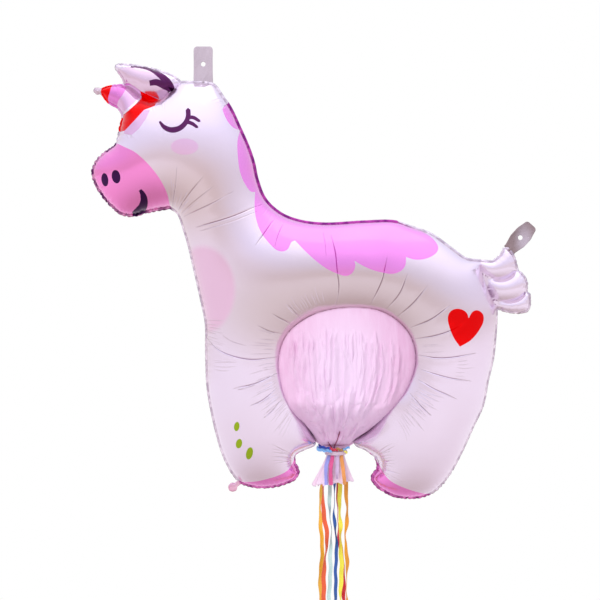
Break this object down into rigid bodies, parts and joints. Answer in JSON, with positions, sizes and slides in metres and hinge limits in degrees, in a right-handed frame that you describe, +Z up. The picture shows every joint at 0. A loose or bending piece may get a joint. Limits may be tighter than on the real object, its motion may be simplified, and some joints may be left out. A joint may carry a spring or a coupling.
{
  "type": "pull-string balloon pinata",
  "caption": "Foil balloon pony pinata with a film pouch in its belly for sweets, a gathered neck with a tie and pull ribbons, and punched hanging tabs.",
  "frame": {"origin": "the centre of the punched hole in the head's hanging tab", "axes": "+X from nose to tail, +Z up, the front panel faces -Y"},
  "size_m": [0.7557, 0.1782, 1.138],
  "materials": {
    "foil_print": "pearly metallised film, glossy, printed",
    "clear_film": "milky film, half clear, glossy",
    "pink_film": "thin crinkled translucent pink film",
    "valve_film": "clear film",
    "hoof_print": "pink printed metallised film, glossy",
    "tie_ribbon": "pale pink curling ribbon",
    "lavender_ribbon_short": "flat glossy curling ribbon, 7 mm wide",
    "pink_ribbon_short": "flat glossy curling ribbon, 7 mm wide",
    "lilac_ribbon_short": "flat glossy curling ribbon, 7 mm wide",
    "peach_ribbon_short": "flat glossy curling ribbon, 7 mm wide",
    "red_ribbon": "flat glossy curling ribbon, 7 mm wide",
    "mint_ribbon": "flat glossy curling ribbon, 7 mm wide",
    "blue_ribbon": "flat glossy curling ribbon, 7 mm wide",
    "yellow_ribbon": "flat glossy curling ribbon, 7 mm wide",
    "orange_ribbon": "flat glossy curling ribbon, 7 mm wide",
    "amber_ribbon": "flat glossy curling ribbon, 7 mm wide",
    "scarlet_ribbon": "flat glossy curling ribbon, 7 mm wide"
  },
  "bodies": {
    "balloon": {"front_foil_panel": "foil_print", "back_foil_panel": "foil_print", "valve_front_film": "valve_film", "valve_back_film": "valve_film", "pouch_front_film": "pink_film", "pouch_back_film": "pink_film"},
    "head_tab": {"head_hang_tab": "clear_film"},
    "tail_tab": {"tail_hang_tab": "clear_film"},
    "filler": {"filler_neck": "hoof_print"},
    "pull": {"neck_tie_band": "tie_ribbon", "pouch_skirt": "pink_film", "lavender_ribbon_short": "lavender_ribbon_short", "pink_ribbon_short": "pink_ribbon_short", "lilac_ribbon_short": "lilac_ribbon_short", "peach_ribbon_short": "peach_ribbon_short", "red_ribbon": "red_ribbon", "mint_ribbon": "mint_ribbon", "blue_ribbon": "blue_ribbon", "yellow_ribbon": "yellow_ribbon", "orange_ribbon": "orange_ribbon", "amber_ribbon": "amber_ribbon", "scarlet_ribbon": "scarlet_ribbon"}
  },
  "joints": [
    {"name": "pouch_release", "type": "slide", "parent": "balloon", "child": "pull", "axis": [0, 0, -1], "range_m": [0, 0.12]},
    {"name": "head_tab_fold", "type": "hinge", "parent": "balloon", "child": "head_tab", "pos_m": [-0.0005, 0, -0.027], "axis": [1, 0, 0], "range_deg": [-85, 85], "stiffness_Nm_per_rad": 0.002},
    {"name": "tail_tab_fold", "type": "hinge", "parent": "balloon", "child": "tail_tab", "pos_m": [0.5221, 0, -0.3131], "axis": [0.741, 0, -0.6715], "range_deg": [-85, 85], "stiffness_Nm_per_rad": 0.002},
    {"name": "filler_neck_fold", "type": "hinge", "parent": "balloon", "child": "filler", "pos_m": [0.0578, 0, -0.7132], "axis": [-0.6, 0, 0.8], "range_deg": [-70, 70], "stiffness_Nm_per_rad": 0.002}
  ]
}
